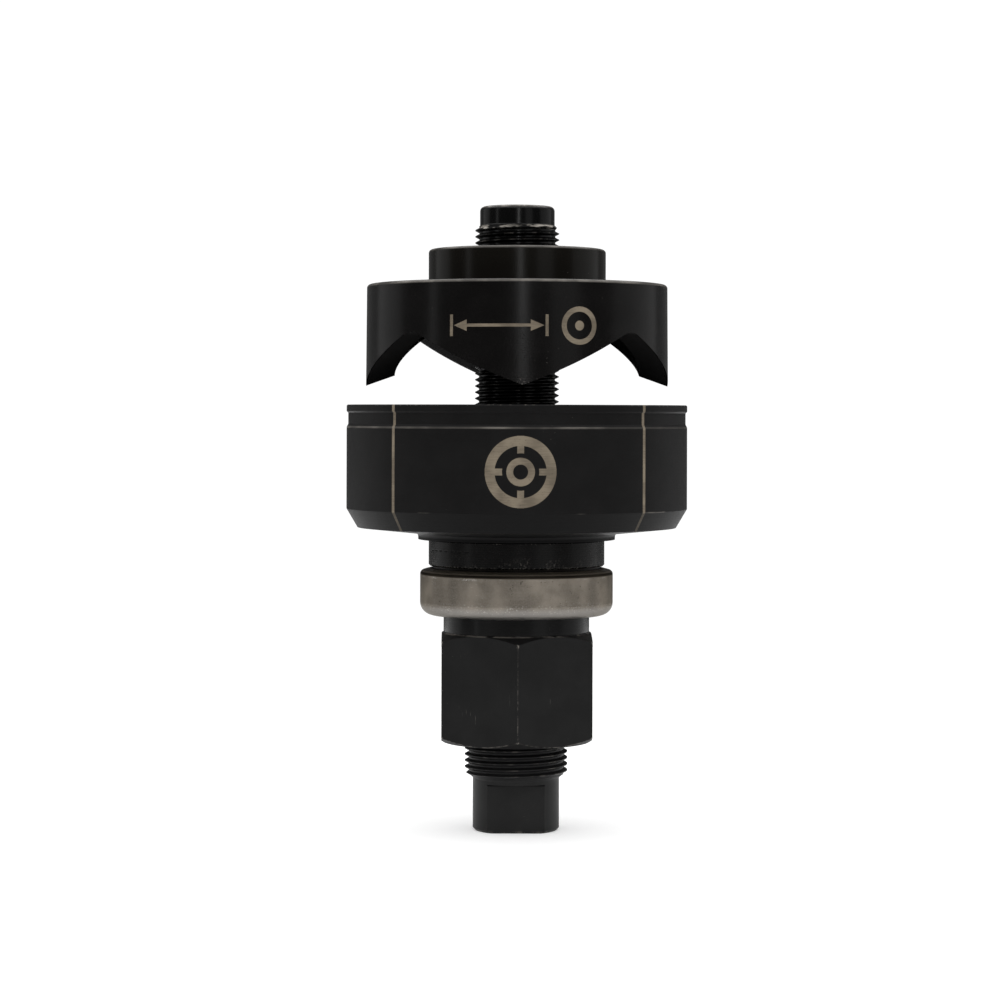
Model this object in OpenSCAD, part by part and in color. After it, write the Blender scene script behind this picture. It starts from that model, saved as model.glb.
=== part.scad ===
// Screw-driven knockout punch set, standing on the wrench end of its draw stud.
// The axis of every piece is Z, the origin is the centre of the stud's foot, and -Y is the front.
// Lengths are millimetres. Threads are plain cylinders of their major diameter.

/* [Draw stud] */
// Diameter of the wrench end
end_d = 29.4; // [26:0.1:32]
// Length of the wrench end
end_len = 17.6; // [12:0.1:30]
// Distance across the two wrench flats
flats_af = 22.2; // [18:0.1:25]
// Length of the wrench flats
flats_len = 16.4; // [10:0.1:17]
// Edge break of the foot
foot_break = 0.8; // [0.3:0.1:2]
// Length of the taper from the wrench end to the large thread
runout_len = 2; // [1:0.1:4]
// Major diameter of the large thread, which the nut runs on
large_thread_d = 34.925; // [33:0.025:40]
// Advance of the nut in one turn
thread_lead = 2.1167; // [1.5:0.0001:3]
// Turns that the nut can be backed off from where it stands
turns_back = 4; // [1:1:5]
// Room left between the collar and the stud's shoulder at that limit
shoulder_room = 0.5; // [0.3:0.1:2]
// Large thread that shows under the nut
thread_below_nut = 10.4; // [9:0.1:20]
// Major diameter of the small thread, which the punch screws on
small_thread_d = 28.575; // [26:0.025:30]
// Small thread that shows above the punch
thread_above_punch = 8.3; // [3:0.1:20]
// Diameter of the plain tip
tip_d = 25.4; // [20:0.1:25.5]
// Length of the plain tip
tip_len = 6.4; // [3:0.1:15]
// Rounding of the tip's top edge
tip_round = 1.6; // [0.5:0.1:3]
// Chamfer of the shoulder and the bore mouths
edge_chamfer = 1; // [0.5:0.1:1.5]

/* [Drive nut] */
// Distance across the flats of the hex
hex_af = 50.8; // [48:0.1:58]
// Height of the hex
hex_h = 37; // [28:0.1:50]
// Turn of the nut on its thread, in degrees
hex_turn = 1.1; // [0:0.1:60]
// Slope of the chamfers on the hex corners, in degrees
hex_chamfer_deg = 30; // [20:1:40]
// Radial distance from the flats in to the circle where the bottom chamfer starts
hex_chamfer_inset = 0.4; // [0.1:0.1:2]
// Height of the round neck
neck_h = 7.7; // [5:0.1:15]
// Fillet at the foot of the neck
neck_fillet = 0.5; // [0.2:0.1:0.8]
// Length of the threaded part of the nut's bore
nut_thread_len = 24.5; // [15:0.1:30]
// Wall of the spigot that centres the lower race
spigot_wall = 1.9; // [1.5:0.1:3]
// Width of the seat under the lower race
seat_w = 5; // [3.5:0.1:6]

/* [Bearing] */
// Diameter of the balls
ball_d = 7.9375; // [6:0.0125:9]
// Number of balls
ball_count = 14; // [8:1:15]
// Radius of the ball groove beyond the ball's own
groove_ease = 0.2; // [0.1:0.01:0.4]
// Depth of the ball groove
groove_depth = 1.5; // [1:0.1:2]
// Height of each race
race_h = 5; // [4.5:0.1:8]
// Flat land inside the ball groove
inner_land = 1.6; // [1:0.1:3]
// Flat land outside the ball groove
outer_land = 3.3; // [2.5:0.1:4]
// Radial step of the upper race under the shell's lip
race_step = 0.4; // [0.3:0.05:1]
// Height of the upper race's wide rim
rim_h = 1.7; // [0.8:0.1:2]
// Thickness of the ball cage
cage_t = 3; // [2:0.1:4]
// Wall of the shell
shell_wall = 1.6; // [1.2:0.1:2.2]
// Outer radius of the shell's bottom fold
shell_fold_r = 4.3; // [3:0.1:6]
// How far the lip reaches in
lip_in = 3.1; // [2.8:0.1:3.6]
// Outer radius of the bend from the shell's wall into the lip
lip_bend_r = 1.5; // [0.8:0.1:2]
// Rise of the lip towards its end, in degrees
lip_deg = 15; // [8:1:25]
// Width of the lip's flat end
lip_end_w = 0.6; // [0.4:0.1:0.8]
// Height by which the upper race stands out of the shell
race_proud = 0.8; // [0.6:0.1:2]

/* [Thrust collar] */
// Diameter of the collar
collar_d = 59.8; // [50:0.1:70]
// Height of the collar
collar_h = 9; // [5:0.1:15]
// Edge break of the collar
collar_break = 0.5; // [0.2:0.1:1]

/* [Die] */
// Wall of the die at its rim
die_wall = 6.25; // [4.5:0.05:10]
// Height of the die from the foot of its bottom chamfer to its rim
die_h = 41.5; // [34:0.1:60]
// Thickness of the die's floor
die_floor_t = 11.2; // [8:0.1:16]
// Diameter of the boss under the die
boss_d = 67; // [60:0.1:76]
// Height of the boss
boss_h = 2.1; // [2:0.1:8]
// Fillet round the boss
boss_fillet = 1.2; // [0.5:0.1:2]
// Fall of the bottom face from the chamfer in to the boss
bottom_fall = 2; // [0.5:0.1:4]
// Radial width of the chamfer on the bottom edge
bottom_chamfer_w = 3.7; // [2:0.1:6]
// Height of that chamfer
bottom_chamfer_h = 6.3; // [3:0.1:9]
// Height of the lip above the rim groove
rim_lip_h = 2.2; // [1.5:0.1:4]
// Height of the rim groove
rim_groove_h = 5.4; // [3:0.1:8]
// Depth of the rim groove
rim_groove_depth = 0.55; // [0.3:0.05:1.2]
// Edge break of the rim
rim_break = 0.35; // [0.1:0.05:0.6]
// Height of the cutting land in the bore
cutting_land_h = 10; // [6:0.1:14]
// Radial relief below the cutting land
relief = 0.9; // [0.4:0.1:1.5]
// Fillet in the bottom corner of the cavity
cavity_fillet = 3; // [1:0.1:5]

/* [Punch] */
// Diameter over the points, which is the hole that it cuts
punch_d = 102.7; // [92:0.1:120]
// Height from the points to the top of the skirt
skirt_h = 34.4; // [30:0.1:50]
// Radial back taper from the points to the top of the skirt
back_taper = 0.25; // [0:0.05:0.5]
// Wall of the skirt
skirt_wall = 9.75; // [7:0.05:12]
// Thickness of the plate above the cavity, without the hub
roof_t = 14; // [9:0.1:18]
// Fillet in the cavity's roof corner
roof_fillet = 2.5; // [1:0.1:5]
// Diameter of the hub
hub_d = 60.3; // [50:0.1:70]
// Height of the hub
hub_h = 12; // [6:0.1:20]
// Edge radius on the hub and the skirt
punch_edge_r = 1.2; // [0.5:0.1:2]
// Slope of the V groove's flanks, in degrees
flank_deg = 26.7; // [20:0.1:30]
// Radius at the root of the V groove
root_r = 8; // [3:0.5:10]
// Turn of the punch on its thread, in degrees
punch_turn = 2.1; // [0:0.1:90]
// Gap between the points and the die's rim
panel_gap = 6.4; // [4.5:0.1:10]

/* [Fits] */
// Radial play in a thread
thread_play = 0.05; // [0.02:0.01:0.1]
// Radial play between pieces that are fixed together
seat_play = 0.05; // [0.02:0.01:0.1]
// Play between a ball and the bottom of its groove
ball_play = 0.05; // [0.02:0.01:0.1]
// Radial play of a ball in its pocket
pocket_play = 0.25; // [0.15:0.05:0.4]
// Radial play of a smooth hole round a thread
hole_play = 0.42; // [0.3:0.01:0.8]
// Room between other parts that turn past each other
running_room = 0.5; // [0.3:0.05:0.7]
// Radial play between the punch and the die
die_play = 0.3; // [0.2:0.05:0.5]

/* [Hidden] */
$fn = 96;
arc_steps = 8;
cut = 1;

large_r = large_thread_d / 2;
small_r = small_thread_d / 2;

// Heights of the faces where pieces meet, from the foot up
thread_z = end_len + runout_len;
nut_z = thread_z + thread_below_nut;
neck_z = nut_z + hex_h;
seat_z = neck_z + neck_h;
ball_z = seat_z + race_h - groove_depth + ball_play + ball_d / 2;
bearing_top_z = 2 * ball_z - seat_z;
collar_top_z = bearing_top_z + collar_h;
die_z = collar_top_z + boss_h + bottom_fall;
rim_z = die_z + die_h;
points_z = rim_z + panel_gap;
hub_z = points_z + skirt_h;
punch_top_z = hub_z + hub_h;
thread_top_z = punch_top_z + thread_above_punch;
stud_top_z = thread_top_z + tip_len;
shoulder_z = bearing_top_z - turns_back * thread_lead - shoulder_room;

// Radii of the nut and the bearing, from the large thread outwards
counterbore_r = large_r + hole_play;
spigot_r = counterbore_r + spigot_wall;
neck_r = spigot_r + seat_w;
race_bore_r = spigot_r + seat_play;
groove_r = ball_d / 2 + groove_ease;
groove_half_w = sqrt(pow(groove_r, 2) - pow(groove_r - groove_depth, 2));
pitch_r = race_bore_r + inner_land + groove_half_w;
race_r = pitch_r + groove_half_w + outer_land;
shell_bore_r = race_r + seat_play;
shell_r = shell_bore_r + shell_wall;
shell_z = seat_z - shell_wall;
shell_hole_r = neck_r + seat_play;
fold_bore_r = shell_fold_r - shell_wall;
fold_centre = [shell_r - shell_fold_r, shell_z + shell_fold_r];
shell_top_z = bearing_top_z - race_proud;
lip_bore_r = shell_r - lip_in - lip_end_w;
upper_rim_r = race_r - race_step;
upper_neck_r = lip_bore_r - running_room;
spigot_z = seat_z + race_h - running_room;

// Radii of the die and the punch
small_hole_r = small_r + hole_play;
punch_r = punch_d / 2;
die_bore_r = punch_r + die_play;
die_r = die_bore_r + die_wall;
punch_top_r = punch_r - back_taper;
cavity_r = punch_r - skirt_wall;
roof_z = hub_z - roof_t;

function ball_name(i) = str("bearing_ball_", i);

// Points of an arc round a centre, from one angle to another, ends included
function arc(centre, r, from, to) =
    [for (i = [0:arc_steps])
        let (a = from + (to - from) * i / arc_steps)
        centre + r * [cos(a), sin(a)]];

// A ring between two radii and two heights
module ring(inner_r, outer_r, low_z, high_z) {
    rotate_extrude()
        translate([inner_r, low_z])
            square([outer_r - inner_r, high_z - low_z]);
}

// A bore with chamfered mouths, to be cut out of a body
module chamfered_bore(r, low_z, high_z) {
    rotate_extrude()
        polygon([
            [0, low_z - cut],
            [r + edge_chamfer + cut, low_z - cut],
            [r, low_z + edge_chamfer],
            [r, high_z - edge_chamfer],
            [r + edge_chamfer + cut, high_z + cut],
            [0, high_z + cut]]);
}

// The track that the balls roll in, cut into the race on one side of them: -1 above, 1 below
module ball_groove(side) {
    groove_lift = groove_ease - ball_play;
    rotate_extrude()
        translate([pitch_r, ball_z + side * groove_lift])
            circle(r = groove_r);
}

// One V groove across the punch, along X, with a round root
module v_groove() {
    root_z = points_z + punch_r * tan(flank_deg) / sqrt(2);
    centre_z = root_z - root_r / cos(flank_deg);
    low_z = points_z - cut;
    low_w = (root_z - low_z) / tan(flank_deg);
    length = 2 * (punch_r + cut);
    rotate([90, 0, 90])
        linear_extrude(height = length, center = true)
            polygon(concat(
                [[-low_w, low_z], [low_w, low_z]],
                arc([0, centre_z], root_r, 90 - flank_deg, 90 + flank_deg)));
}

module punch_blank() {
    skirt_edge = [punch_top_r - punch_edge_r, hub_z - punch_edge_r];
    hub_edge = [hub_d / 2 - punch_edge_r, punch_top_z - punch_edge_r];
    roof_corner = [cavity_r - roof_fillet, roof_z - roof_fillet];
    rotate_extrude()
        polygon(concat(
            [[cavity_r, points_z], [punch_r, points_z]],
            arc(skirt_edge, punch_edge_r, 0, 90),
            [[hub_d / 2, hub_z]],
            arc(hub_edge, punch_edge_r, 0, 90),
            [[0, punch_top_z], [0, roof_z]],
            arc(roof_corner, roof_fillet, 90, 0)));
}

module punch() {
    color([0.09, 0.09, 0.10])
        rotate([0, 0, punch_turn])
            difference() {
                punch_blank();
                chamfered_bore(small_r + thread_play, roof_z, punch_top_z);
                for (a = [45, 135])
                    rotate([0, 0, a])
                        v_groove();
            }
}

module die() {
    chamfer_r = die_r - bottom_chamfer_w;
    groove_top_z = rim_z - rim_lip_h;
    groove_low_z = groove_top_z - rim_groove_h;
    groove_bottom_r = die_r - rim_groove_depth;
    land_z = rim_z - cutting_land_h;
    relief_r = die_bore_r + relief;
    relief_z = land_z - 2 * relief;
    floor_z = die_z + die_floor_t;
    boss_corner = [boss_d / 2 + boss_fillet, die_z - bottom_fall - boss_fillet];
    floor_corner = [relief_r - cavity_fillet, floor_z + cavity_fillet];
    color([0.12, 0.12, 0.12])
        rotate_extrude()
            polygon(concat(
                [[small_hole_r, collar_top_z], [boss_d / 2, collar_top_z]],
                arc(boss_corner, boss_fillet, 180, 90),
                [[chamfer_r, die_z],
                 [die_r, die_z + bottom_chamfer_h],
                 [die_r, groove_low_z],
                 [groove_bottom_r, groove_low_z + 2 * rim_groove_depth],
                 [groove_bottom_r, groove_top_z - rim_groove_depth],
                 [die_r, groove_top_z],
                 [die_r, rim_z - rim_break],
                 [die_r - rim_break, rim_z],
                 [die_bore_r, rim_z],
                 [die_bore_r, land_z],
                 [relief_r, relief_z]],
                arc(floor_corner, cavity_fillet, 0, -90),
                [[small_hole_r, floor_z]]));
}

module thrust_collar() {
    collar_r = collar_d / 2;
    color([0.10, 0.09, 0.09])
        rotate_extrude()
            polygon([
                [small_hole_r, bearing_top_z],
                [collar_r - collar_break, bearing_top_z],
                [collar_r, bearing_top_z + collar_break],
                [collar_r, collar_top_z - collar_break],
                [collar_r - collar_break, collar_top_z],
                [small_hole_r, collar_top_z]]);
}

module upper_race() {
    land_z = bearing_top_z - race_h;
    color([0.55, 0.55, 0.56])
        difference() {
            union() {
                ring(counterbore_r, upper_neck_r, land_z, bearing_top_z);
                ring(counterbore_r, upper_rim_r, land_z, land_z + rim_h);
            }
            ball_groove(-1);
        }
}

module lower_race() {
    corner_r = fold_bore_r - seat_play;
    color([0.55, 0.55, 0.56])
        difference() {
            rotate_extrude()
                polygon(concat(
                    [[race_bore_r, seat_z]],
                    arc([race_r - corner_r, seat_z + corner_r], corner_r, -90, 0),
                    [[race_r, seat_z + race_h], [race_bore_r, seat_z + race_h]]));
            ball_groove(1);
        }
}

module ball_cage() {
    cage_r = race_r - running_room;
    cage_bore_r = race_bore_r + running_room;
    color([0.70, 0.58, 0.32])
        difference() {
            ring(cage_bore_r, cage_r, ball_z - cage_t / 2, ball_z + cage_t / 2);
            for (i = [1:ball_count])
                at_ball(i)
                    cylinder(r = ball_d / 2 + pocket_play, h = cage_t + 2 * cut, center = true);
        }
}

// Places its children at the centre of a ball
module at_ball(i) {
    rotate([0, 0, 360 * (i - 1) / ball_count])
        translate([pitch_r, 0, ball_z])
            children();
}

module bearing_ball(i) {
    color([0.80, 0.80, 0.82])
        at_ball(i)
            sphere(d = ball_d);
}

module bearing_shell() {
    bend_deg = 90 - lip_deg;
    // From the end of the bend the lip rises straight to its end
    straight_in = lip_in - lip_bend_r * (1 - cos(bend_deg));
    bend_z = shell_top_z - straight_in * tan(lip_deg) - lip_bend_r * sin(bend_deg);
    // The lip's inner face lies one wall in from the outer face and meets the bore in a sharp corner
    inner_bend_z = bend_z + (lip_bend_r - shell_wall) * tan(bend_deg / 2);
    lip_under_z = inner_bend_z + (shell_bore_r - lip_bore_r) * tan(lip_deg);
    color([0.62, 0.60, 0.57])
        rotate_extrude()
            polygon(concat(
                [[shell_hole_r, shell_z]],
                arc(fold_centre, shell_fold_r, -90, 0),
                arc([shell_r - lip_bend_r, bend_z], lip_bend_r, 0, bend_deg),
                [[shell_r - lip_in, shell_top_z],
                 [lip_bore_r, shell_top_z],
                 [lip_bore_r, lip_under_z],
                 [shell_bore_r, inner_bend_z]],
                arc(fold_centre, fold_bore_r, 0, -90),
                [[shell_hole_r, seat_z]]));
}

// Turned blank of the nut: chamfers that will show on the hex corners, neck and spigot
module nut_blank() {
    corner_r = hex_af / sqrt(3);
    low_r = hex_af / 2 - hex_chamfer_inset;
    low_chamfer_h = (corner_r - low_r) * tan(hex_chamfer_deg);
    top_r = neck_r + neck_fillet;
    top_chamfer_h = (corner_r - top_r) * tan(hex_chamfer_deg);
    rotate_extrude()
        polygon(concat(
            [[0, nut_z],
             [low_r, nut_z],
             [corner_r, nut_z + low_chamfer_h],
             [corner_r, neck_z - top_chamfer_h]],
            arc([top_r, neck_z + neck_fillet], neck_fillet, -90, -180),
            [[neck_r, seat_z],
             [spigot_r, seat_z],
             [spigot_r, spigot_z],
             [0, spigot_z]]));
}

// Threaded bore of the nut, wider above the thread
module nut_bore() {
    bore_r = large_r + thread_play;
    thread_end_z = nut_z + nut_thread_len;
    step_h = counterbore_r - bore_r;
    rotate_extrude()
        polygon([
            [0, nut_z - cut],
            [bore_r + edge_chamfer + cut, nut_z - cut],
            [bore_r, nut_z + edge_chamfer],
            [bore_r, thread_end_z],
            [counterbore_r, thread_end_z + step_h],
            [counterbore_r, spigot_z + cut],
            [0, spigot_z + cut]]);
}

module drive_nut() {
    color([0.10, 0.10, 0.10])
        rotate([0, 0, hex_turn])
            difference() {
                nut_blank();
                nut_bore();
                for (i = [0:5])
                    rotate([0, 0, 60 * i])
                        translate([hex_af / 2, -hex_af / 2, nut_z - cut])
                            cube([hex_af / 2, hex_af, hex_h + cut]);
            }
}

module draw_stud() {
    flat_w = end_d + 2 * cut;
    thread_start = small_r - tip_d / 2;
    tip_edge = [tip_d / 2 - tip_round, stud_top_z - tip_round];
    color([0.08, 0.08, 0.08])
        difference() {
            rotate_extrude()
                polygon(concat(
                    [[0, 0],
                     [end_d / 2 - foot_break, 0],
                     [end_d / 2, foot_break],
                     [end_d / 2, end_len],
                     [large_r, thread_z],
                     [large_r, shoulder_z - edge_chamfer],
                     [large_r - edge_chamfer, shoulder_z],
                     [small_r, shoulder_z],
                     [small_r, thread_top_z - thread_start],
                     [tip_d / 2, thread_top_z]],
                    arc(tip_edge, tip_round, 0, 90),
                    [[0, stud_top_z]]));
            for (side = [0, 180])
                rotate([0, 0, side])
                    translate([-flat_w / 2, flats_af / 2, -cut])
                        cube([flat_w, flat_w, flats_len + cut]);
        }
}

punch();
die();
thrust_collar();
upper_race();
lower_race();
ball_cage();
for (i = [1:ball_count])
    bearing_ball(i);
bearing_shell();
drive_nut();
draw_stud();
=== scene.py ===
# Knockout punch: looks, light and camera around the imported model.
# Blender lengths are metres. Sizes named below are millimetres, turned to metres by MM. -Y is the front.
import math

import bmesh
import bpy
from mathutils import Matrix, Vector


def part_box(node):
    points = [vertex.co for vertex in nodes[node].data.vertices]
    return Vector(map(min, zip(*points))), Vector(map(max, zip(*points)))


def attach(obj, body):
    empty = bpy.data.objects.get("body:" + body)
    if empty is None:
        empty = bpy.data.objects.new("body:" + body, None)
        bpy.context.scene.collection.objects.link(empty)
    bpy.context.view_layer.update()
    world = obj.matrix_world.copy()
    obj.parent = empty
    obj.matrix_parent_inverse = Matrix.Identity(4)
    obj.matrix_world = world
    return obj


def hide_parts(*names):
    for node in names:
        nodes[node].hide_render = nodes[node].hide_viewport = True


MM = 0.001

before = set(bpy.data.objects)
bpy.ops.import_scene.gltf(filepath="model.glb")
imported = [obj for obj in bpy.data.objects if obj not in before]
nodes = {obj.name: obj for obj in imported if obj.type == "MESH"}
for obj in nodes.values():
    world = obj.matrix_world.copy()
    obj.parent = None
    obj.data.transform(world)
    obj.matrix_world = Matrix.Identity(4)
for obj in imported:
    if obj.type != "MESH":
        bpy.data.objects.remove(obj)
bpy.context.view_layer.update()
scene = bpy.context.scene


def bottom(node):
    """Height of a CAD node's lowest point, in millimetres."""
    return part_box(node)[0].z / MM


def top(node):
    """Height of a CAD node's highest point, in millimetres."""
    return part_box(node)[1].z / MM


def half_width(node):
    """Largest distance of a CAD node from the axis along X, in millimetres."""
    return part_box(node)[1].x / MM


# Draw stud
LEAD = 2.1167
DEPTH_SHARE = 0.6134
THREAD_DEPTH = DEPTH_SHARE * LEAD
LARGE_R = half_width("draw_stud")
SMALL_THREAD_D = 28.575
SMALL_R = SMALL_THREAD_D / 2
END_R = 14.7
END_LEN = 17.6
RUNOUT_LEN = 2
FLAT_Y = 11.1
FLAT_LEN = 16.4
FOOT_BREAK = 0.8
TIP_R = 12.7
TIP_LEN = 6.4
TIP_ROUND = 1.6
ROUND_STEPS = 8
STUD_CHAMFER = 1
TURNS_BACK = 4
SHOULDER_ROOM = 0.5
STUD_TOP = top("draw_stud")
THREAD_TOP = STUD_TOP - TIP_LEN
SHOULDER_Z = top("upper_race") - TURNS_BACK * LEAD - SHOULDER_ROOM
COLUMNS = 96

# Share of the lead by which the crests stand above a thread's lower end at the right
LARGE_START = 0.2
SMALL_START = 0.51

# One turn of the thread: share of the lead, and share of the thread's depth that is cut away there
THREAD_PROFILE = ((0, 0), (0.125, 0), (0.4375, 1), (0.5625, 1.05), (0.6875, 1))
ROOT_SHARE = 1.05

# Heights and radii that finishes and marks are placed by
HUB_H = 12
HUB_R = 30.15
PUNCH_TOP = top("punch")
HUB_Z = PUNCH_TOP - HUB_H
POINTS_Z = bottom("punch")
PUNCH_R = half_width("punch")
RIM_LIP_H = 2.2
RIM_GROOVE_H = 5.4
BOSS_H = 2.1
BOTTOM_FALL = 2
BOTTOM_CHAMFER_H = 6.3
DIE_R = half_width("die")
RIM_Z = top("die")
GROOVE_LOW = RIM_Z - RIM_LIP_H - RIM_GROOVE_H
DIE_CHAMFER_TOP = bottom("die") + BOSS_H + BOTTOM_FALL + BOTTOM_CHAMFER_H
COLLAR_LOW = bottom("thrust_collar")
COLLAR_TOP = top("thrust_collar")
COLLAR_R = half_width("thrust_collar")
SHELL_LOW = bottom("bearing_shell")
SHELL_TOP = top("bearing_shell")
SHELL_R = half_width("bearing_shell")
HEX_H = 37
NUT_Z = bottom("drive_nut")
NECK_Z = NUT_Z + HEX_H
HEX_FLAT_R = 25.4
HEX_TURN = math.radians(1.1)
HEX_CHAMFER_INSET = 0.4
HEX_CHAMFER_R = HEX_FLAT_R - HEX_CHAMFER_INSET
HEX_CHAMFER_SLOPE = math.tan(math.radians(30))


# Numbers that vary over a surface

def plug(tree, slot, value):
    """Sets a node's input to a constant, or links a field or a colour socket to it."""
    if isinstance(value, Field):
        tree.links.new(value.socket, slot)
    elif isinstance(value, bpy.types.NodeSocket):
        tree.links.new(value, slot)
    else:
        slot.default_value = value


class Field:
    """A number over a surface. Arithmetic on it adds shader nodes, so that masks read as formulas."""

    def __init__(self, tree, socket):
        self.tree = tree
        self.socket = socket

    def math(self, operation, *others):
        """The result of a Math node on this field and the other values."""
        node = self.tree.nodes.new("ShaderNodeMath")
        node.operation = operation
        for slot, value in zip(node.inputs, (self, *others)):
            plug(self.tree, slot, value)
        return Field(self.tree, node.outputs[0])

    def __add__(self, other):
        return self.math("ADD", other)

    def __sub__(self, other):
        return self.math("SUBTRACT", other)

    def __mul__(self, other):
        return self.math("MULTIPLY", other)

    def __neg__(self):
        return self.math("MULTIPLY", -1)

    def __abs__(self):
        return self.math("ABSOLUTE")

    def either(self, other):
        """The larger of two masks at each point."""
        return self.math("MAXIMUM", other)

    def without(self, other):
        """This mask where the other one is 0, fading out as it goes to 1."""
        return self * (-other + 1)

    def wrap(self, half):
        """The same angle or length counted from the nearest multiple of twice the half."""
        return self.math("WRAP", half, -half)

    def ramp(self, zero_at, one_at):
        """0 at one value, 1 at the other, smooth between them and level beyond."""
        node = self.tree.nodes.new("ShaderNodeMapRange")
        node.interpolation_type = "SMOOTHSTEP"
        plug(self.tree, node.inputs["Value"], self)
        node.inputs["From Min"].default_value = zero_at
        node.inputs["From Max"].default_value = one_at
        return Field(self.tree, node.outputs[0])

    def band(self, low, high, soft):
        """1 between two values, fading out over the soft length beyond them."""
        return self.ramp(low - soft, low) * self.ramp(high + soft, high)


class Place:
    """Where a point of the surface lies on its own piece, in millimetres of the rest pose."""

    def __init__(self, tree):
        self.tree = tree
        coordinates = tree.nodes.new("ShaderNodeTexCoord")
        scale = tree.nodes.new("ShaderNodeVectorMath")
        scale.operation = "SCALE"
        scale.inputs["Scale"].default_value = 1 / MM
        tree.links.new(coordinates.outputs["Object"], scale.inputs[0])
        split = tree.nodes.new("ShaderNodeSeparateXYZ")
        tree.links.new(scale.outputs[0], split.inputs[0])
        self.point = scale.outputs[0]
        self.x, self.y, self.z = (Field(tree, socket) for socket in split.outputs)
        self.r = (self.x * self.x + self.y * self.y).math("SQRT")
        # Angle from the front, positive to the right
        self.turn = self.x.math("ARCTAN2", -self.y)

    def arc(self, radius):
        """Length round a cylinder from its front line, positive to the right."""
        return self.turn * radius

    def noise(self, size, detail=2, round_by=1, up_by=1):
        """Noise from 0 to 1 with lumps of about that size, longer round the axis or up it by a factor."""
        fit = self.tree.nodes.new("ShaderNodeVectorMath")
        fit.operation = "DIVIDE"
        self.tree.links.new(self.point, fit.inputs[0])
        fit.inputs[1].default_value = (size * round_by, size * round_by, size * up_by)
        texture = self.tree.nodes.new("ShaderNodeTexNoise")
        texture.inputs["Scale"].default_value = 1
        texture.inputs["Detail"].default_value = detail
        self.tree.links.new(fit.outputs[0], texture.inputs["Vector"])
        return Field(self.tree, texture.outputs[0])

    def rings(self, wave):
        """Tool marks of a lathe on flat faces and round walls, from -2 to 2, wave radians to a millimetre."""
        return (self.r * wave).math("SINE") + (self.z * wave).math("SINE")


def shade(colour, by):
    """A colour made lighter or darker by a factor."""
    return tuple(c * by for c in colour)


def mix(factor, start, end):
    """A colour that goes from one to the other as the factor goes from 0 to 1."""
    tree = factor.tree
    node = tree.nodes.new("ShaderNodeMix")
    node.data_type = "RGBA"
    plug(tree, node.inputs[0], factor)
    for slot, colour in ((node.inputs[6], start), (node.inputs[7], end)):
        plug(tree, slot, (*colour, 1) if isinstance(colour, tuple) else colour)
    return node.outputs[2]


# Materials

BARE_STEEL_AND_HIGHLIGHT = (0.40, 0.37, 0.33)
ETCHED_DARK = (0.120, 0.100, 0.075)
ETCHED_LIGHT = (0.205, 0.172, 0.127)
OXIDE_BROWN = (0.0062, 0.0053, 0.0039)
BARE_ROUGHNESS = 0.38
TURNED_ROUGHNESS = 0.18
GRAIN_DISTANCE = 0.00003


class Finish:
    """A material in the making: a Principled shader and the place fields to steer it by."""

    def __init__(self, name):
        self.material = bpy.data.materials.new(name)
        self.material.use_nodes = True
        self.tree = self.material.node_tree
        self.shader = self.tree.nodes["Principled BSDF"]
        self.place = Place(self.tree)

    def set(self, **inputs):
        """Sets or links the shader's inputs, named with underscores for spaces."""
        for name, value in inputs.items():
            plug(self.tree, self.shader.inputs[name.replace("_", " ")], value)

    def bump(self, height, strength):
        """Presses a height field into the surface."""
        node = self.tree.nodes.new("ShaderNodeBump")
        node.inputs["Strength"].default_value = strength
        node.inputs["Distance"].default_value = GRAIN_DISTANCE
        plug(self.tree, node.inputs["Height"], height)
        self.tree.links.new(node.outputs[0], self.shader.inputs["Normal"])


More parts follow.
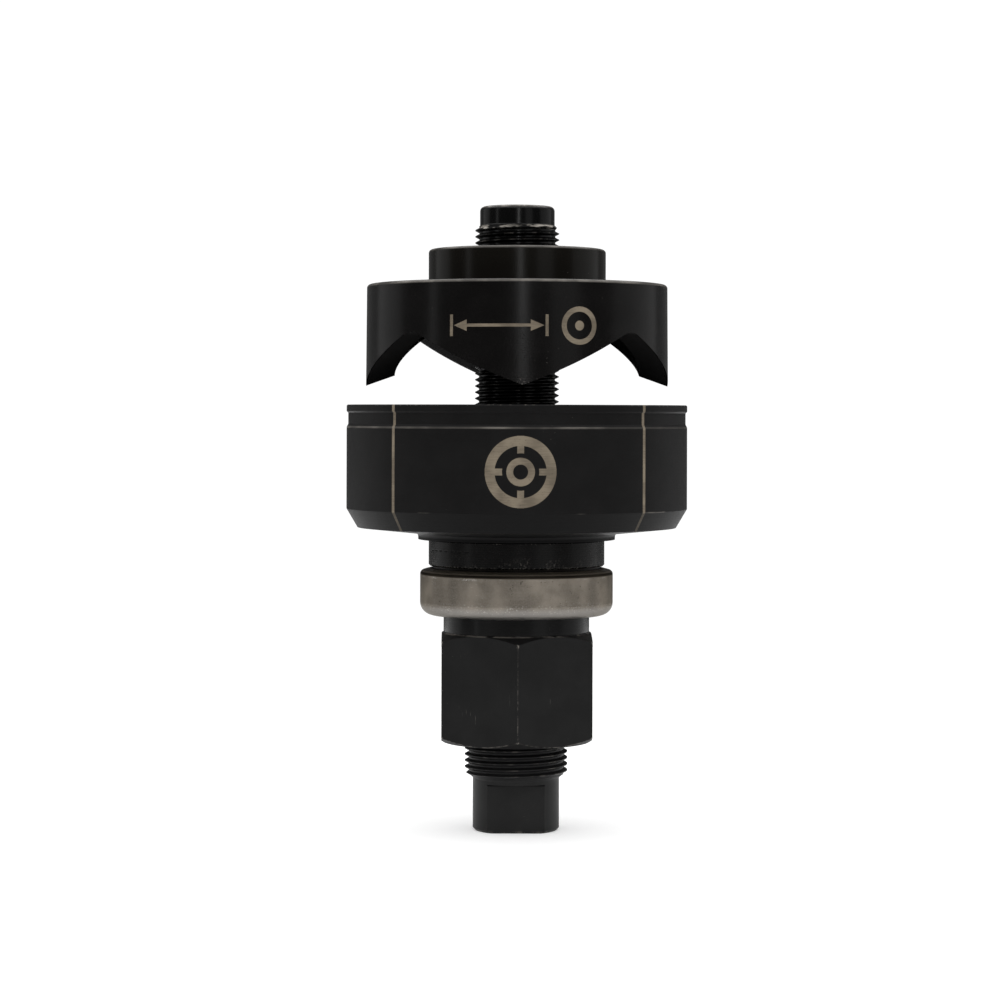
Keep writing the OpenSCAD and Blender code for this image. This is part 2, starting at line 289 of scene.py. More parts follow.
def black_steel(name, tone, roughness, specular, wear_and_highlight, etched=None, dents_and_shade=None, dark=None, turned=None,
                milled=None, oxide=None, rings=0):
    """Blackened steel: cloudy tone and grain, bare metal where rubbed and as painted highlights, and matt
    lighter metal where etched.

    wear_and_highlight, etched, dents_and_shade, dark, turned, milled and oxide are functions of a Place that
    give masks from 0 to 1.
    wear_and_highlight gives bare metal, for rubbed places and for painted highlights; dents_and_shade presses
    the surface in and paints shade into it; dark paints the colour darker. Turned faces are smoother than the
    rest, milled faces are rougher, and oxide is browner.
    rings is how deep the tool marks of a lathe are, against the grain.
    """
    finish = Finish(name)
    place = finish.place
    clouds = place.noise(11, 4)
    grain = place.noise(0.45, 3)
    worn_and_highlit = wear_and_highlight(place)
    colour = mix(clouds.ramp(0.3, 0.7), shade(tone, 0.8), shade(tone, 1.2))
    colour = mix(grain.ramp(0.55, 0.8) * 0.35, colour, shade(tone, 2.2))
    rough = clouds * 0.06 + (grain - 0.5) * 0.12 + (roughness - 0.03)
    height = grain * 0.7 - worn_and_highlit * 0.4
    if rings:
        height = height + place.rings(8) * rings
    if oxide:
        colour = mix(oxide(place), colour, OXIDE_BROWN)
    # Painted shade on the die's bottom chamfer and the nut's neck and bottom chamfer; a darker tone on the
    # stud's tip and small thread
    if dark:
        colour = mix(dark(place), colour, shade(tone, 0.25))
    if turned:
        smooth = turned(place)
        rough = rough.without(smooth) + smooth * TURNED_ROUGHNESS
    if milled:
        rough = rough + milled(place) * 0.8
    if etched:
        mark = etched(place)
        flecks = place.noise(0.6, 2)
        brushed = place.noise(0.35, 2, round_by=12)
        tarnish = (place.noise(8, 2) * 0.7 + brushed * 0.3).ramp(0.36, 0.64)
        colour = mix(mark * flecks.ramp(0.0, 0.4), colour, mix(tarnish, ETCHED_DARK, ETCHED_LIGHT))
        rough = rough + mark * 0.08
    # Painted shade in the collar's stamped dashes, and painted shadow under the ledges of the stud's flats;
    # both are pressed in too
    if dents_and_shade:
        sunk_and_shaded = dents_and_shade(place)
        colour = mix(sunk_and_shaded * 0.75, colour, shade(tone, 0.3))
        height = height - sunk_and_shaded * 4
        rough = rough + sunk_and_shaded * 0.5
    # Bare metal where rubbed, and painted highlights along the punch's top edges and the foot of the nut's
    # neck
    colour = mix(worn_and_highlit, colour, BARE_STEEL_AND_HIGHLIGHT)
    rough = rough.without(worn_and_highlit) + worn_and_highlit * BARE_ROUGHNESS
    finish.set(Base_Color=colour, Roughness=rough, Metallic=worn_and_highlit, Specular_IOR_Level=specular)
    finish.bump(height, 0.35)
    return finish.material


def nicks(place, size, share, patch):
    """Small sparse marks, gathered in patches. A larger share gives more of them."""
    return place.noise(size, 1).ramp(0.80 - share, 0.84 - share) * place.noise(patch, 1).ramp(0.5, 0.62)


def punch_wear_and_highlight(place):
    """Painted highlights along the hub's and skirt's top edges, bright tips of the points, and nicks."""
    hub_edge = place.z.ramp(PUNCH_TOP - 1.0, PUNCH_TOP - 0.4) * place.r.ramp(HUB_R - 1.2, HUB_R - 0.7)
    skirt_edge = place.z.band(HUB_Z - 0.8, HUB_Z - 0.2, 0.3) * place.r.ramp(PUNCH_R - 1.2, PUNCH_R - 0.7)
    # Painted highlight along both top edges, brighter in patches
    edges = hub_edge.either(skirt_edge) * (place.noise(9, 3).ramp(0.35, 0.75) * 0.25 + 0.12)
    tips = place.z.ramp(POINTS_Z + 2.5, POINTS_Z + 0.3) * place.noise(0.7, 1).ramp(0.62, 0.70) * 0.35
    return edges.either(tips).either(nicks(place, 0.55, 0.02, 16) * 0.4)


def hub_oxide(place):
    """The hub's wall and top."""
    return place.z.ramp(HUB_Z, HUB_Z + 0.2)


def punch_milling(place):
    """The flanks of the grooves between the points, and the cup."""
    return place.r.ramp(PUNCH_R - 0.3, PUNCH_R - 0.6) * place.z.ramp(HUB_Z - 1, HUB_Z - 2)


MARK_SOFT = 0.08


def disc(across, up, radius):
    """1 inside a circle round the origin."""
    distance = (across * across + up * up).math("SQRT")
    return distance.ramp(radius + MARK_SOFT, radius - MARK_SOFT)


def stripe(across, width):
    """1 inside a stripe along the middle."""
    return abs(across).ramp(width / 2 + MARK_SOFT, width / 2 - MARK_SOFT)


def bar(across, up, width, height):
    """1 inside a rectangle round the origin."""
    return stripe(across, width) * stripe(up, height)


def outward(place, radius):
    """1 on the outside of a cylinder, 0 on faces further in."""
    return place.r.ramp(radius - 1.2, radius - 0.9)


PUNCH_MARK_Z = 170
PUNCH_MARK_TURN = math.radians(2.1)
PUNCH_RING_ACROSS = 19
PUNCH_RING_R = 6.2
PUNCH_RING_W = 1.7
PUNCH_DOT_R = 1.6
PUNCH_ARROW_ACROSS = -8
PUNCH_ARROW_LEN = 30
ARROW_HEAD_LEN = 4.5
ARROW_HEAD_SLOPE = 0.42
ARROW_SHAFT_W = 1
ARROW_STOP_OUT = 0.9
ARROW_STOP_W = 1
ARROW_STOP_H = 7


def punch_marks(place):
    """A plain ring with a centre dot, and a two-headed arrow beside it."""
    across = place.arc(PUNCH_R) - PUNCH_MARK_TURN * PUNCH_R
    up = place.z - PUNCH_MARK_Z
    ring_across = across - PUNCH_RING_ACROSS
    ring = disc(ring_across, up, PUNCH_RING_R).without(disc(ring_across, up, PUNCH_RING_R - PUNCH_RING_W))
    dot = disc(ring_across, up, PUNCH_DOT_R)
    along = across - PUNCH_ARROW_ACROSS
    shaft = bar(along, up, PUNCH_ARROW_LEN - ARROW_HEAD_LEN, ARROW_SHAFT_W)
    from_tip = -abs(along) + PUNCH_ARROW_LEN / 2
    heads = (from_tip * ARROW_HEAD_SLOPE - abs(up)).ramp(-MARK_SOFT, MARK_SOFT)
    heads = heads * from_tip.ramp(ARROW_HEAD_LEN, ARROW_HEAD_LEN - 0.1)
    stops = bar(abs(along) - PUNCH_ARROW_LEN / 2 - ARROW_STOP_OUT, up, ARROW_STOP_W, ARROW_STOP_H)
    return ring.either(dot).either(shaft).either(heads).either(stops) * outward(place, PUNCH_R)


DIE_LINE_TURN = math.radians(45.9)
DIE_LINE_W = 1.2
DIE_MARK_Z = 122.7
DIE_MARK_TURN = math.radians(1.25)
DIE_MARK_R = 11.6
TARGET_RING_W = 3.2
TARGET_CROSS_W = 2.2
TARGET_GAP_R = 6
TARGET_HUB_R = 4.6
TARGET_EYE_R = 2.4


def die_marks(place):
    """Four upright lines that quarter the die, and a plain target at the front."""
    from_line = (place.turn - DIE_LINE_TURN).wrap(math.pi / 4) * DIE_R
    lines = abs(from_line).ramp(DIE_LINE_W / 2 + 0.1, DIE_LINE_W / 2 - 0.1)
    # Fainter on the chamfer than on the wall
    lines = lines * (place.z.ramp(DIE_CHAMFER_TOP - 0.4, DIE_CHAMFER_TOP + 0.2) * 0.65 + 0.35)
    across = place.arc(DIE_R) - DIE_MARK_TURN * DIE_R
    up = place.z - DIE_MARK_Z
    ring = disc(across, up, DIE_MARK_R).without(disc(across, up, DIE_MARK_R - TARGET_RING_W))
    upright = bar(across, up, TARGET_CROSS_W, 2 * DIE_MARK_R)
    level = bar(across, up, 2 * DIE_MARK_R, TARGET_CROSS_W)
    gap = disc(across, up, TARGET_GAP_R)
    hub = disc(across, up, TARGET_HUB_R)
    eye = disc(across, up, TARGET_EYE_R)
    target = ring.either(upright.either(level)).without(gap).either(hub).without(eye)
    outside = place.r.ramp(DIE_R - 4.6, DIE_R - 4.0)
    return lines.either(target) * outside


def die_painted_shade(place):
    """Painted shade on the chamfer on the bottom edge, and on the bottom."""
    return place.z.ramp(DIE_CHAMFER_TOP + 0.1, DIE_CHAMFER_TOP - 0.1)


def die_wear(place):
    """Rubbed edges of the groove, the rim and the chamfer, and nicks."""
    groove_edge = place.z.band(GROOVE_LOW - 0.15, GROOVE_LOW + 0.3, 0.2)
    rim_edge = place.z.ramp(RIM_Z - 0.35, RIM_Z - 0.1)
    chamfer_edge = place.z.band(DIE_CHAMFER_TOP - 0.15, DIE_CHAMFER_TOP + 0.15, 0.12)
    long_patches = place.noise(7, 4, round_by=3)
    groove = groove_edge * (long_patches.ramp(0.42, 0.75) * 0.32 + 0.06)
    rim = rim_edge * place.noise(2, 3).ramp(0.54, 0.70) * 0.22
    chamfer = chamfer_edge * long_patches.ramp(0.62, 0.72) * 0.25
    outside = place.r.ramp(DIE_R - 1.6, DIE_R - 1.0)
    edges = groove.either(rim).either(chamfer) * outside
    return edges.either(nicks(place, 0.5, 0.01, 22) * 0.3)


COLLAR_DASH_TURN = math.radians(-52)
COLLAR_DASH_STEP = 3.2
COLLAR_DASHES_LEN = 24
COLLAR_DASH_LEN = 1.9
COLLAR_DASH_W = 0.5
COLLAR_DASH_SHARE = 0.62
COLLAR_DASH_Z = COLLAR_LOW + COLLAR_DASH_SHARE * (COLLAR_TOP - COLLAR_LOW)


def collar_dents_and_shade(place):
    """A row of plain stamped dashes, with painted shade in them."""
    across = place.arc(COLLAR_R) - COLLAR_DASH_TURN * COLLAR_R
    up = place.z - COLLAR_DASH_Z
    dashes = bar(across.wrap(COLLAR_DASH_STEP / 2), up, COLLAR_DASH_LEN, COLLAR_DASH_W)
    return dashes * stripe(across, COLLAR_DASHES_LEN) * outward(place, COLLAR_R)


def collar_wear(place):
    """Fine flecks on both edges, and smudges on the lower half."""
    fine = place.noise(0.9, 4)
    top_edge = place.z.band(COLLAR_TOP - 0.6, COLLAR_TOP - 0.4, 0.15) * fine.ramp(0.56, 0.74) * 0.18
    low_edge = place.z.band(COLLAR_LOW + 0.3, COLLAR_LOW + 0.55, 0.15) * fine.ramp(0.40, 0.72) * 0.16
    low_half = place.z.ramp(COLLAR_LOW + 5.5, COLLAR_LOW + 1)
    rub = low_half * place.noise(0.8, 4).ramp(0.46, 0.72) * place.noise(6, 2).ramp(0.48, 0.64) * 0.14
    return top_edge.either(low_edge).either(rub) * outward(place, COLLAR_R)


def hex_corner_turn(place):
    """Angle from the nearest corner of the hex, without its sign."""
    return abs((place.turn - HEX_TURN).wrap(math.pi / 6))


def low_chamfer(place):
    """1 on the cone that breaks the bottom corners of the hex."""
    above = place.z - NUT_Z - (place.r - HEX_CHAMFER_R) * HEX_CHAMFER_SLOPE
    return above.ramp(0.25, 0.05)


def nut_turning(place):
    """The round neck above the hex."""
    return place.z.ramp(NECK_Z - 0.2, NECK_Z + 0.4)


def nut_painted_shade(place):
    """Painted shade on the neck, and on the chamfer under the hex."""
    return nut_turning(place).either(low_chamfer(place))


def nut_wear_and_highlight(place):
    """Bare corners and edges of the hex, a painted highlight along the foot of the neck, upright scratches,
    and nicks.
    """
    from_corner = hex_corner_turn(place) * HEX_FLAT_R
    flat_r = (-hex_corner_turn(place) + math.pi / 6).math("COSINE") * place.r
    hex_height = place.z.band(NUT_Z + 1, NECK_Z - 2, 0.5) * place.r.ramp(HEX_FLAT_R + 2.5, HEX_FLAT_R + 3.3)
    lower_half = place.z.ramp(NECK_Z - 12, NUT_Z + 10) * 0.6 + 0.4
    corner = from_corner.ramp(0.22, 0.06) * hex_height * lower_half
    corner = corner * place.noise(0.8, 3).ramp(0.42, 0.66) * 0.18
    top_tip = place.z.band(NECK_Z - 3.0, NECK_Z - 2.2, 0.3)
    low_tip = place.z.band(NUT_Z + 2.3, NUT_Z + 2.7, 0.2)
    tips = from_corner.ramp(0.5, 0.1) * top_tip.either(low_tip)
    tips = tips * place.r.ramp(HEX_FLAT_R + 2.6, HEX_FLAT_R + 3.4)
    tips = tips * place.noise(0.5, 2).ramp(0.40, 0.58) * 0.5
    low_edge = low_chamfer(place) * flat_r.ramp(HEX_FLAT_R - 0.35, HEX_FLAT_R - 0.1)
    low_edge = low_edge * place.noise(1.6, 4).ramp(0.40, 0.68) * 0.22
    # Painted highlight: a thin light line along the foot of the neck
    neck_foot_highlight = place.z.band(NECK_Z - 0.05, NECK_Z + 0.2, 0.15) * place.noise(6, 2).ramp(0.45, 0.60) * 0.3
    upright = place.noise(0.35, 2, up_by=14)
    scratches = upright.ramp(0.70, 0.78) * place.noise(11, 1).ramp(0.54, 0.66) * 0.16
    wear_and_highlight = corner.either(tips).either(low_edge).either(neck_foot_highlight).either(scratches)
    return wear_and_highlight.either(nicks(place, 0.5, 0.02, 15) * 0.25)


def stud_turning(place):
    """The small thread and the plain tip."""
    return place.z.ramp(SHOULDER_Z, SHOULDER_Z + 1)


def thread_start(place):
    """The cone that breaks the first turn of the small thread."""
    return place.z.band(THREAD_TOP - 1.5, THREAD_TOP, 0.1) * place.r.ramp(TIP_R + 0.05, TIP_R + 0.2)


def stud_painted_shadow(place):
    """Painted shadow in the sharp corners at the upper ends of the wrench flats, under their ledges."""
    return place.z.band(FLAT_LEN - 0.45, FLAT_LEN, 0.1) * abs(abs(place.y) - FLAT_Y).ramp(0.15, 0.05)


def stud_wear(place):
    """Rubbed tip, first turn, thread crests and foot, and nicks."""
    girth = place.noise(1.5, 3, round_by=4)
    tip_edge = place.z.ramp(STUD_TOP - 0.9, STUD_TOP - 0.4) * place.r.ramp(TIP_R - 1.9, TIP_R - 1.5)
    tip_edge = tip_edge * (place.noise(4, 3).ramp(0.36, 0.70) * 0.45 + 0.15)
    first_turn = place.z.band(THREAD_TOP - 1.4, THREAD_TOP - 0.5, 0.5) * girth.ramp(0.48, 0.62) * 0.75
    small_crest = place.r.band(SMALL_R - 0.12, SMALL_R + 0.1, 0.06) * place.z.ramp(SHOULDER_Z, SHOULDER_Z + 1)
    large_crest = place.r.ramp(LARGE_R - 0.18, LARGE_R - 0.10)
    crests = small_crest.either(large_crest) * place.noise(2.6, 3).ramp(0.46, 0.70) * 0.14
    foot = place.z.ramp(FOOT_BREAK + 0.3, 0.3) * place.noise(3, 3).ramp(0.48, 0.66) * 0.15
    return tip_edge.either(first_turn).either(crests).either(foot).either(nicks(place, 0.5, 0.02, 14) * 0.25)


SHELL_DARK = (0.154, 0.135, 0.111)
SHELL_LIGHT = (0.239, 0.210, 0.174)
SHELL_STAIN = (0.094, 0.083, 0.070)
SHELL_RUBBED = (0.27, 0.25, 0.22)
SHELL_GRAIN = (0.28, 0.26, 0.23)
SHELL_FOLD_REFLECTION = (0.22, 0.212, 0.203)
SHELL_PIT = (0.04, 0.034, 0.028)
SHELL_SCUFF_AND_GLINT = (0.50, 0.48, 0.45)
SHELL_OIL = (0.165, 0.138, 0.106)
SHELL_GRIME_AND_SHADOW = (0.020, 0.017, 0.013)
SHELL_TINT = (0.52, 0.51, 0.49, 1)


def shell_steel():
    """Worn drawn steel: warm grey clouds, rubbed round its girth, with dark pits, light scuffs, and a painted
    glint on the bend.

    The lip has a brown film of oil, and a dark line of dirt and painted shadow where it bends out of the
    wall.
    """
    finish = Finish("worn_shell_steel")
    place = finish.place
    fold_reflection = place.z.ramp(SHELL_LOW + 4.6, SHELL_LOW + 2.2)
    fold_start = place.z.band(SHELL_LOW + 2.6, SHELL_LOW + 4.6, 1)
    bend = place.z.band(SHELL_TOP - 2.7, SHELL_TOP - 2.3, 0.3) * outward(place, SHELL_R)
    oily_lip = place.z.ramp(SHELL_TOP - 2.4, SHELL_TOP - 1.7)
    grime_and_shadow = place.z.band(SHELL_TOP - 1.9, SHELL_TOP - 1.3, 0.35)
    stains = place.noise(9, 1, up_by=6)
    clouds = place.noise(6, 4)
    rubbed = place.noise(0.8, 4, round_by=9)
    grain = place.noise(0.5, 3)
    pits = place.noise(0.9, 2).ramp(0.66, 0.74) * place.noise(10, 2).ramp(0.45, 0.60)
    flecks = place.noise(0.45, 3, round_by=1.5)
    scuffs = flecks.ramp(0.56, 0.70) * fold_start.either(place.noise(8, 2).ramp(0.56, 0.68) * 0.6)
    edge_wear_and_glint = bend * place.noise(8, 4).ramp(0.50, 0.68) * flecks.ramp(0.36, 0.60)
    colour = mix(clouds.ramp(0.3, 0.7), SHELL_DARK, SHELL_LIGHT)
    colour = mix(stains.ramp(0.40, 0.64) * 0.6, colour, SHELL_STAIN)
    colour = mix(rubbed.ramp(0.35, 0.7) * 0.10, colour, SHELL_RUBBED)
    colour = mix(grain.ramp(0.35, 0.7) * 0.18, colour, SHELL_GRAIN)
    # Painted reflection: a lighter, cooler tone on the rounding at the bottom
    colour = mix(fold_reflection * 0.7, colour, SHELL_FOLD_REFLECTION)
    colour = mix(pits * 0.75, colour, SHELL_PIT)
    # Light scuffs, and on the bend a painted glint among them
    colour = mix((scuffs * 0.35).either(edge_wear_and_glint * 0.6), colour, SHELL_SCUFF_AND_GLINT)
    colour = mix(oily_lip * 0.85, colour, SHELL_OIL)
    # Dark dirt and painted shadow on the lip under the collar
    colour = mix(grime_and_shadow * 0.92, colour, SHELL_GRIME_AND_SHADOW)
    rough = clouds * 0.16 + rubbed * 0.10 + grain * 0.08 + 0.25
    metal = -oily_lip.without(grime_and_shadow) * 0.7 + 1
    finish.set(Base_Color=colour, Roughness=rough, Metallic=metal, Specular_Tint=SHELL_TINT)
    finish.bump(grain * 0.7 + rubbed * 0.2 - pits * 1.5, 0.4)
    return finish.material


def turned_metal(name, light, dark, roughness):
    """Turned or ground metal: fine rings round the axis over a cloudy tone."""
    finish = Finish(name)
    place = finish.place
    clouds = place.noise(6, 3)
    rings = place.rings(9) * 0.5
    colour = mix(clouds.ramp(0.3, 0.7), dark, light)
    rough = clouds * 0.12 + rings * 0.02 + (roughness - 0.06)
    finish.set(Base_Color=colour, Roughness=rough, Metallic=1.0)
    finish.bump(rings * 0.5 + place.noise(0.4, 2), 0.15)
    return finish.material


def dress(node, material):
    """Gives a CAD node its material."""
    nodes[node].data.materials.clear()
    nodes[node].data.materials.append(material)


def dress_all():
    """Makes every material, puts it on its CAD nodes and returns the stud's."""
    dress("punch", black_steel(
        "gloss_black_punch", tone=(0.0036, 0.0033, 0.0032), roughness=0.21, specular=0.15, wear_and_highlight=punch_wear_and_highlight,
        etched=punch_marks, milled=punch_milling, oxide=hub_oxide, rings=0.15))
    dress("die", black_steel(
        "satin_black_die", tone=(0.0046, 0.0044, 0.0044), roughness=0.50, specular=0.10, wear_and_highlight=die_wear,
        etched=die_marks, dark=die_painted_shade, rings=0.25))
    dress("thrust_collar", black_steel(
        "black_collar", tone=(0.0018, 0.0016, 0.0015), roughness=0.25, specular=0.13, wear_and_highlight=collar_wear,
        dents_and_shade=collar_dents_and_shade, rings=0.12))
    dress("drive_nut", black_steel(
        "matt_black_nut", tone=(0.0068, 0.0068, 0.0068), roughness=0.56, specular=0.13, wear_and_highlight=nut_wear_and_highlight,
        dark=nut_painted_shade, turned=nut_turning))
    dress("bearing_shell", shell_steel())
    # The upper race is darkened for grease, and as painted shade in the gap under the collar
    dress("upper_race", turned_metal("oiled_and_shaded_race_steel", (0.010, 0.009, 0.008), (0.006, 0.0055, 0.005), 0.42))
    dress("lower_race", turned_metal("ground_race_steel", (0.46, 0.45, 0.44), (0.34, 0.33, 0.32), 0.34))
    dress("ball_cage", turned_metal("cage_brass", (0.62, 0.43, 0.17), (0.48, 0.31, 0.11), 0.36))
    ball = turned_metal("ball_steel", (0.62, 0.62, 0.63), (0.54, 0.54, 0.55), 0.16)
    for node in nodes:
        if node.startswith("bearing_ball"):
            dress(node, ball)
    return black_steel(
        "black_stud", tone=(0.0080, 0.0080, 0.0080), roughness=0.50, specular=0.18, wear_and_highlight=stud_wear,
        dents_and_shade=stud_painted_shadow, dark=stud_turning, turned=stud_turning, milled=thread_start)


# Threaded stud

def round_ring(mesh, radius, z):
    """Vertices of a circle, one for each column."""
    ring = []
    for column in range(COLUMNS):
        angle = 2 * math.pi * column / COLUMNS
        ring.append(mesh.verts.new(Vector((radius * math.cos(angle), radius * math.sin(angle), z)) * MM))
    return ring


def flatted_ring(mesh, radius, z):
    """A circle cut by the two wrench flats, with vertices where the flats begin."""
    step = 2 * math.pi / COLUMNS
    edge = math.asin(FLAT_Y / radius)
    edges = (edge, math.pi - edge, math.pi + edge, 2 * math.pi - edge)
    ring = []
    for column in range(COLUMNS):
        angle = column * step
        for flat_edge in edges:
            if abs(angle - flat_edge) < step / 2:
                angle = flat_edge
        y = max(-FLAT_Y, min(FLAT_Y, radius * math.sin(angle)))
        ring.append(mesh.verts.new(Vector((radius * math.cos(angle), y, z)) * MM))
    return ring


def skin(mesh, low, high):
    """Faces between two rings of the same number of vertices."""
    for i, vertex in enumerate(low):
        j = (i + 1) % len(low)
        mesh.faces.new((vertex, low[j], high[j], high[i]))


def thread_wall(mesh, low_z, high_z, start, major_r, outline):
    """A right-hand thread between two heights, trimmed to an outline. Returns its first and last radius.

    Each column of vertices starts a little higher than the one before it, so rows of vertices follow the
    crests. The thread runs on past both heights, where its vertices fall together on the end circles.
    """
    spare_turns = 2
    start_z = low_z + (start - spare_turns) * LEAD
    turns = math.ceil((high_z - start_z) / LEAD) + spare_turns
    root_r = major_r - ROOT_SHARE * THREAD_DEPTH
    low_r = min(root_r, outline(low_z))
    high_r = min(root_r, outline(high_z))
    per_turn = len(THREAD_PROFILE)
    columns = []
    for column in range(COLUMNS):
        angle = 2 * math.pi * column / COLUMNS
        verts = []
        for row in range(turns * per_turn):
            turn, point = divmod(row, per_turn)
            share, cut = THREAD_PROFILE[point]
            z = start_z + LEAD * (turn + share + column / COLUMNS)
            if z <= low_z:
                z, radius = low_z, low_r
            elif z >= high_z:
                z, radius = high_z, high_r
            else:
                radius = min(major_r - cut * THREAD_DEPTH, outline(z))
            verts.append(mesh.verts.new(Vector((radius * math.cos(angle), radius * math.sin(angle), z)) * MM))
        columns.append(verts)
    for column in range(COLUMNS):
        last = column + 1 == COLUMNS
        here = columns[column]
        # One turn on, the last column meets the first a whole lead higher
        beside = columns[0][per_turn:] if last else columns[column + 1]
        for row in range(min(len(here), len(beside)) - 1):
            mesh.faces.new((here[row], beside[row], beside[row + 1], here[row + 1]))
    return low_r, high_r


def large_outline(z):
    """Limits the large thread: a hollow taper up from the wrench end, and a chamfer at the shoulder."""
    taper = min(1, (z - END_LEN) / RUNOUT_LEN)
    return min(END_R + (LARGE_R - END_R) * taper ** 1.5, LARGE_R - STUD_CHAMFER + SHOULDER_Z - z)


def small_outline(z):
    """Limits the small thread: a chamfer down to the plain tip."""
    return min(SMALL_R, TIP_R + THREAD_TOP - z)


def threaded_stud(material):
    """The draw stud with both its threads cut, as one closed mesh."""
    mesh = bmesh.new()
    foot = flatted_ring(mesh, END_R - FOOT_BREAK, 0)
    rings = [foot, flatted_ring(mesh, END_R, FOOT_BREAK), flatted_ring(mesh, END_R, FLAT_LEN),
             round_ring(mesh, END_R, FLAT_LEN), round_ring(mesh, END_R, END_LEN)]
    for low, high in zip(rings, rings[1:]):
        skin(mesh, low, high)
    large_end = thread_wall(mesh, END_LEN, SHOULDER_Z, LARGE_START, LARGE_R, large_outline)[1]
    small_start = thread_wall(mesh, SHOULDER_Z, THREAD_TOP, SMALL_START, SMALL_R, small_outline)[0]
    skin(mesh, round_ring(mesh, large_end, SHOULDER_Z), round_ring(mesh, small_start, SHOULDER_Z))
    tip = [round_ring(mesh, TIP_R, THREAD_TOP)]
    for step in range(ROUND_STEPS + 1):
        angle = math.pi / 2 * step / ROUND_STEPS
        radius = TIP_R - TIP_ROUND * (1 - math.cos(angle))
        tip.append(round_ring(mesh, radius, STUD_TOP - TIP_ROUND * (1 - math.sin(angle))))
    for low, high in zip(tip, tip[1:]):
        skin(mesh, low, high)
    mesh.faces.new(foot[::-1])
    mesh.faces.new(tip[-1])
    bmesh.ops.remove_doubles(mesh, verts=mesh.verts, dist=0.001 * MM)
    bmesh.ops.dissolve_degenerate(mesh, edges=mesh.edges, dist=0.001 * MM)
    bmesh.ops.recalc_face_normals(mesh, faces=mesh.faces)
    data = bpy.data.meshes.new("threaded_stud")
    mesh.to_mesh(data)
    mesh.free()
    data.shade_smooth()
    data.set_sharp_from_angle(angle=math.radians(32))
    data.materials.append(material)
    stud = bpy.data.objects.new("threaded_stud", data)
    scene.collection.objects.link(stud)
    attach(stud, "stud")
    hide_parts("draw_stud")


# Stage

FLOOR_SIZE = 1.5
FLOOR_GLOW = 0.2
FLOOR_COLOUR = (0.86, 0.86, 0.86)


def pale_floor():
    """A plain pale floor with a faint grain."""
    finish = Finish("pale_floor")
    clouds = finish.place.noise(180, 3)
    colour = mix(clouds.ramp(0.3, 0.7), FLOOR_COLOUR, shade(FLOOR_COLOUR, 1.02))
    finish.set(Base_Color=colour, Roughness=0.7, Specular_IOR_Level=0.1)
    finish.set(Emission_Color=(1, 1, 1, 1), Emission_Strength=FLOOR_GLOW)
    mesh = bmesh.new()
    bmesh.ops.create_grid(mesh, x_segments=1, y_segments=1, size=FLOOR_SIZE / 2)
    data = bpy.data.meshes.new("floor")
    mesh.to_mesh(data)
    mesh.free()
    data.materials.append(finish.material)
    floor = bpy.data.objects.new("floor", data)
    scene.collection.objects.link(floor)


def studio_world(dim, backdrop):
    """A dim studio that the object reflects, with a white backdrop wherever the camera looks past it."""
    world = bpy.data.worlds.new("studio")
    world.use_nodes = True
    scene.world = world
    tree = world.node_tree
    rays = tree.nodes.new("ShaderNodeLightPath")
    seen = Field(tree, rays.outputs["Is Camera Ray"])
    background = tree.nodes["Background"]
    background.inputs["Color"].default_value = (1, 1, 1, 1)
    plug(tree, background.inputs["Strength"], seen * (backdrop - dim) + dim)


def soft_box(name, azimuth, distance, low_z, high_z, width, radiance):
    """An upright soft box that faces the axis, at an azimuth in degrees to the right of the front."""
    angle = math.radians(azimuth)
    light = bpy.data.lights.new(name, "AREA")
    light.shape = "RECTANGLE"
    light.size = width
    light.size_y = high_z - low_z
    light.energy = radiance * math.pi * width * (high_z - low_z)
    lamp = bpy.data.objects.new(name, light)
    lamp.location = (distance * math.sin(angle), -distance * math.cos(angle), (low_z + high_z) / 2)
    lamp.rotation_euler = (math.radians(90), 0, angle)
    scene.collection.objects.link(lamp)


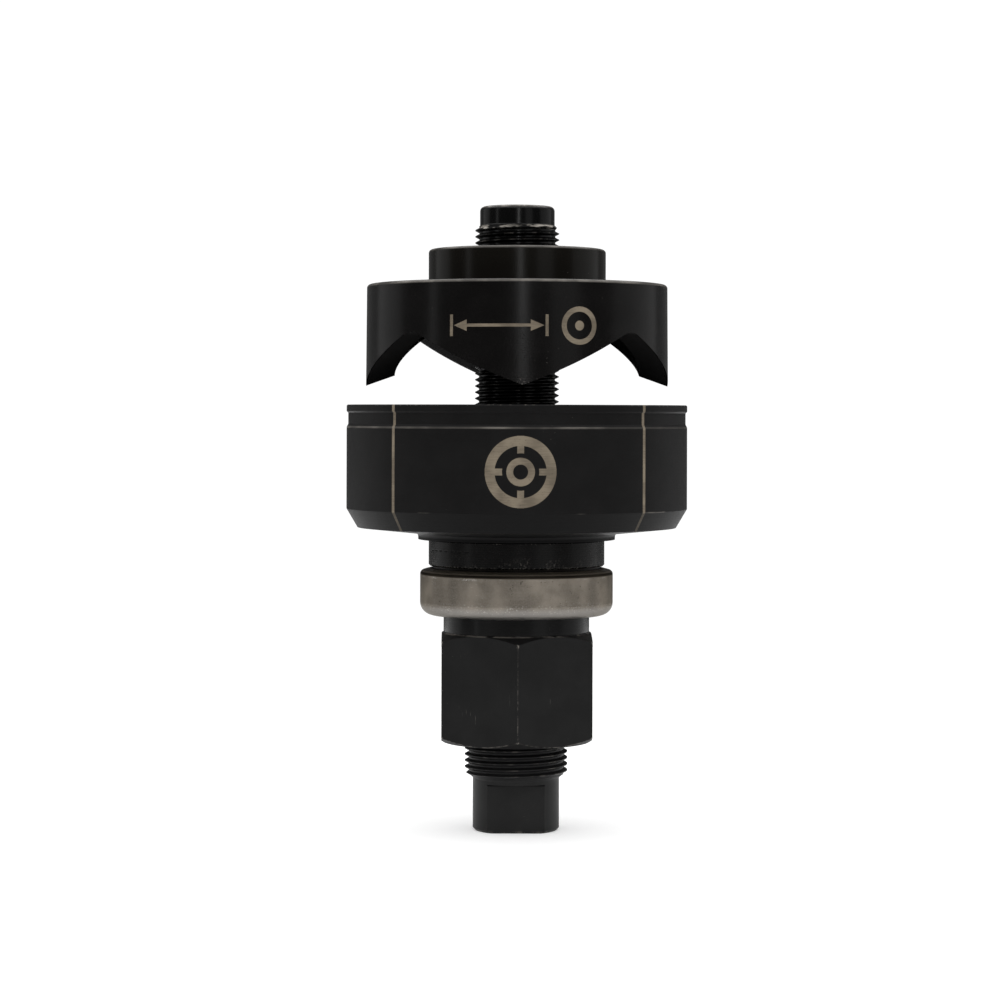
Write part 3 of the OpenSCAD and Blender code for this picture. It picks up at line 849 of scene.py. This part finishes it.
def overhead_light(strength, spread_deg):
    """Broad light straight from above, which keeps the floor evenly white."""
    light = bpy.data.lights.new("overhead", "SUN")
    light.energy = strength
    light.angle = math.radians(spread_deg)
    lamp = bpy.data.objects.new("overhead", light)
    lamp.location = (0, 0, 3)
    scene.collection.objects.link(lamp)


def lights():
    """Even light from above, and soft boxes whose reflections draw the round black pieces."""
    studio_world(dim=0.12, backdrop=1.05)
    overhead_light(strength=4.0, spread_deg=110)
    soft_box("front_strip", azimuth=4.2, distance=1.3, low_z=0.17, high_z=1.0, width=0.11, radiance=5.0)
    soft_box("left_strip", azimuth=-65, distance=1.2, low_z=-0.3, high_z=1.0, width=0.12, radiance=1.3)
    soft_box("left_box", azimuth=-113, distance=1.2, low_z=-0.3, high_z=1.0, width=0.7, radiance=0.45)
    soft_box("right_front", azimuth=36, distance=1.3, low_z=-0.3, high_z=1.0, width=0.5, radiance=0.55)
    soft_box("right_box", azimuth=102, distance=1.2, low_z=-0.3, high_z=1.0, width=1.2, radiance=0.45)


# Camera

CAMERA_DISTANCE = 966
CAMERA_HEIGHT = 141.6
CAMERA_YAW = 0.341
CAMERA_ROLL = -0.15
FOCAL_PIXELS = 2836
IMAGE_PIXELS = 1000
HORIZON_ROW = 413
SENSOR_WIDTH = 36


def photo_camera():
    """The photograph's own viewpoint: a level camera a metre away, as high as the die's rim.

    The photograph is framed lower than the camera's own height, so the lens is shifted down to it.
    """
    data = bpy.data.cameras.new("photo_camera")
    data.sensor_width = SENSOR_WIDTH
    data.lens = SENSOR_WIDTH * FOCAL_PIXELS / IMAGE_PIXELS
    data.shift_y = (HORIZON_ROW - IMAGE_PIXELS / 2) / IMAGE_PIXELS
    camera = bpy.data.objects.new("photo_camera", data)
    camera.location = (0, -CAMERA_DISTANCE * MM, CAMERA_HEIGHT * MM)
    camera.rotation_euler = [math.radians(a) for a in (90, CAMERA_ROLL, CAMERA_YAW)]
    scene.collection.objects.link(camera)
    scene.camera = camera


photo_camera()
threaded_stud(dress_all())
pale_floor()
lights()
scene.view_settings.view_transform = "Standard"
